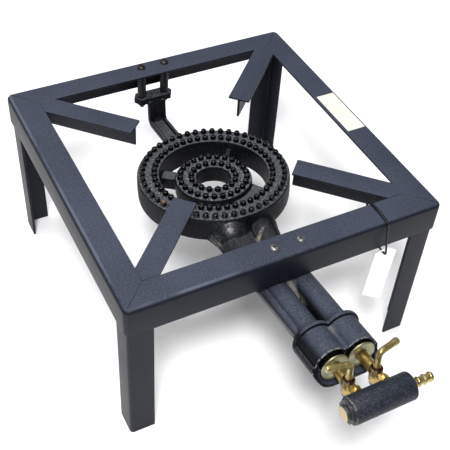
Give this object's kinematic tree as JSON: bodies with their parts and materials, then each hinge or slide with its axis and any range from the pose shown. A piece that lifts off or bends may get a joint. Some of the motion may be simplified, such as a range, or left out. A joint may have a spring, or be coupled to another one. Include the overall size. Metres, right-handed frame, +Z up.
{
  "type": "single burner stove",
  "caption": "Low square gas stove: a welded angle-steel stand with corner pot supports round a tilted double-ring cast burner, fed by lever cocks on a short pipe at the front.",
  "frame": {"origin": "on the floor under the middle of the stand", "axes": "+X to the right, towards the hose nipple; +Y to the back, away from the cocks; +Z up"},
  "size_m": [0.4, 0.5885, 0.2333],
  "materials": {
    "stand_paint": "satin dark grey paint with a fine grain",
    "burner_iron": "rough sand-cast iron with a thin dark coat",
    "bolt_zinc": "bright zinc plate",
    "sleeve_steel": "dull grey steel",
    "cock_brass": "turned brass with some tarnish",
    "lever_zinc": "yellow zinc plate",
    "shutter_zinc": "pale yellow zinc plate",
    "manifold_steel": "matt dark grey",
    "plug_brass": "bare turned face, dark flats",
    "nipple_brass": "turned brass",
    "tie_plastic": "black nylon",
    "tag_card": "plain white card"
  },
  "bodies": {
    "stove": {"rail_front": "stand_paint", "rail_right": "stand_paint", "rail_back": "stand_paint", "rail_left": "stand_paint", "leg_front_left": "stand_paint", "leg_front_right": "stand_paint", "leg_back_right": "stand_paint", "leg_back_left": "stand_paint", "pot_support_front_left": "stand_paint", "pot_support_front_right": "stand_paint", "pot_support_back_right": "stand_paint", "pot_support_back_left": "stand_paint", "burner_casting": "burner_iron", "mount_bolts": "bolt_zinc", "mount_sleeves": "sleeve_steel", "cock_body_left": "cock_brass", "cock_body_right": "cock_brass", "gas_manifold": "manifold_steel", "manifold_plug": "plug_brass", "hose_nipple": "nipple_brass", "tag_tie": "tie_plastic"},
    "cock_left": {"cock_plug_left": "lever_zinc", "plug_nut_left": "bolt_zinc"},
    "cock_right": {"cock_plug_right": "lever_zinc", "plug_nut_right": "bolt_zinc"},
    "shutter_left": {"air_shutter_left": "shutter_zinc"},
    "shutter_right": {"air_shutter_right": "shutter_zinc"},
    "tag": {"hang_tag": "tag_card"}
  },
  "joints": [
    {"name": "left_cock", "type": "hinge", "parent": "stove", "child": "cock_left", "pos_m": [-0.017, -0.34336, 0.18518], "axis": [0, 0.1011, 0.9949], "range_deg": [0, 102]},
    {"name": "right_cock", "type": "hinge", "parent": "stove", "child": "cock_right", "pos_m": [0.017, -0.34336, 0.18518], "axis": [0, 0.1011, 0.9949], "range_deg": [-102, 0]},
    {"name": "left_shutter", "type": "slide", "parent": "stove", "child": "shutter_left", "axis": [0, 0.9949, -0.1011], "range_m": [-0.0077, 0.0042]},
    {"name": "right_shutter", "type": "slide", "parent": "stove", "child": "shutter_right", "axis": [0, 0.9949, -0.1011], "range_m": [-0.01, 0.0019]},
    {"name": "tag_swing", "type": "hinge", "parent": "stove", "child": "tag", "pos_m": [0.12, -0.2055, 0.186], "axis": [0, 1, 0], "range_deg": [-18, 35]}
  ]
}
